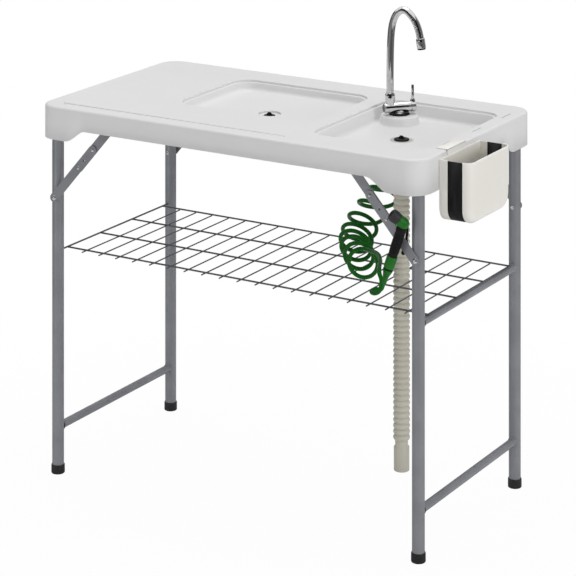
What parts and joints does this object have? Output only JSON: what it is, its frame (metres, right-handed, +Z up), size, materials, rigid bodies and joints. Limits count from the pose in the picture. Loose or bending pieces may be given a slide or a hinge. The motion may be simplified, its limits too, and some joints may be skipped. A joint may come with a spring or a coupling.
{
  "type": "camping sink stand",
  "caption": "Folding camp sink: moulded worktop with two shallow basins on tubular legs, swan-neck tap, wire shelf, drain hose, coiled spray hose and clip-on waste bin.",
  "frame": {"origin": "middle of the floor under the outer box of everything but the hoses and the spray gun", "axes": "+Z up, +X along the worktop towards the waste bin, +Y from the front to the back"},
  "size_m": [1.1312, 0.6009, 1.1467],
  "materials": {
    "deck_plastic": "off-white blow-moulded plastic, fine grain",
    "leg_paint": "smooth grey powder coat on steel tube",
    "foot_rubber": "plain black caps",
    "bracket_zinc": "zinc-plated pressed steel",
    "brace_paint": "grey powder coat on flat steel with bright rivets",
    "shelf_wire": "dark grey powder-coated wire",
    "bin_plastic": "warm off-white polypropylene",
    "fold_band": "soft black folding band",
    "drain_plastic": "white plastic waste and nut",
    "black_plastic": "black plastic",
    "hose_plastic": "cream ribbed hose",
    "chrome": "polished",
    "green_plastic": "leaf-green fittings",
    "coil_plastic": "dark green hose"
  },
  "bodies": {
    "stand": {"worktop": "deck_plastic", "leg_front_left": "leg_paint", "leg_back_left": "leg_paint", "leg_front_right": "leg_paint", "leg_back_right": "leg_paint", "floor_bar_left": "leg_paint", "floor_bar_right": "leg_paint", "hinge_tube_left": "leg_paint", "hinge_tube_right": "leg_paint", "shelf_rail": "leg_paint", "foot_front_left": "foot_rubber", "foot_back_left": "foot_rubber", "foot_front_right": "foot_rubber", "foot_back_right": "foot_rubber", "saddle_front_left": "bracket_zinc", "saddle_back_left": "bracket_zinc", "saddle_front_right": "bracket_zinc", "saddle_back_right": "bracket_zinc", "brace_bracket_front_left": "bracket_zinc", "brace_bracket_back_left": "bracket_zinc", "brace_bracket_front_right": "bracket_zinc", "brace_bracket_back_right": "bracket_zinc", "tap_nut": "bracket_zinc", "brace_lower_front_left": "brace_paint", "brace_lower_back_left": "brace_paint", "brace_lower_front_right": "brace_paint", "brace_lower_back_right": "brace_paint", "brace_upper_front_left": "brace_paint", "brace_upper_back_left": "brace_paint", "brace_upper_front_right": "brace_paint", "brace_upper_back_right": "brace_paint", "waste_big": "drain_plastic", "waste_small": "drain_plastic", "waste_nut_big": "drain_plastic", "waste_nut_small": "drain_plastic", "tap_gasket": "black_plastic", "gun_seal_ring": "black_plastic", "gun_grip": "black_plastic", "drain_hose": "hose_plastic", "tap_body": "chrome", "hose_joiner": "green_plastic", "gun_tail": "green_plastic", "gun_joiner": "green_plastic", "gun_head": "green_plastic", "coil_hose": "coil_plastic"},
    "spout_arm": {"spout": "chrome", "aerator": "chrome"},
    "lever": {"tap_lever": "chrome"},
    "plug_a": {"plug_big": "black_plastic"},
    "plug_b": {"plug_small": "black_plastic"},
    "shelf": {"shelf_grid": "shelf_wire"},
    "bin": {"bin_back_shell": "bin_plastic", "bin_fold_band": "fold_band", "bin_front_shell": "bin_plastic"},
    "trigger": {"gun_trigger": "black_plastic"},
    "dial": {"gun_dial": "black_plastic"}
  },
  "joints": [
    {"name": "spout_swivel", "type": "hinge", "parent": "stand", "child": "spout_arm", "pos_m": [0.18565, 0.1149, 0.9127], "axis": [0, 0, 1], "continuous": true},
    {"name": "tap_lever_turn", "type": "hinge", "parent": "stand", "child": "lever", "pos_m": [0.22365, 0.1587, 0.9003], "axis": [0.6561, 0.7547, 0], "range_deg": [0, 75]},
    {"name": "plug_a_lift", "type": "slide", "parent": "stand", "child": "plug_a", "axis": [0, 0, 1], "range_m": [0, 0.03]},
    {"name": "plug_b_lift", "type": "slide", "parent": "stand", "child": "plug_b", "axis": [0, 0, 1], "range_m": [0, 0.03]},
    {"name": "shelf_lift", "type": "hinge", "parent": "stand", "child": "shelf", "pos_m": [-0.53515, 0, 0.5386], "axis": [0, -1, 0], "range_deg": [0, 1.5]},
    {"name": "bin_lift", "type": "slide", "parent": "stand", "child": "bin", "axis": [0, 0, 1], "range_m": [0, 0.03]},
    {"name": "trigger_pull", "type": "hinge", "parent": "stand", "child": "trigger", "pos_m": [0.43135, -0.2632, 0.752], "axis": [-1, 0, 0], "range_deg": [0, 5], "stiffness_Nm_per_rad": 1.5},
    {"name": "dial_turn", "type": "hinge", "parent": "stand", "child": "dial", "pos_m": [0.42715, -0.2885, 0.7716], "axis": [-0.5495, -0.5495, 0.6294], "continuous": true}
  ]
}
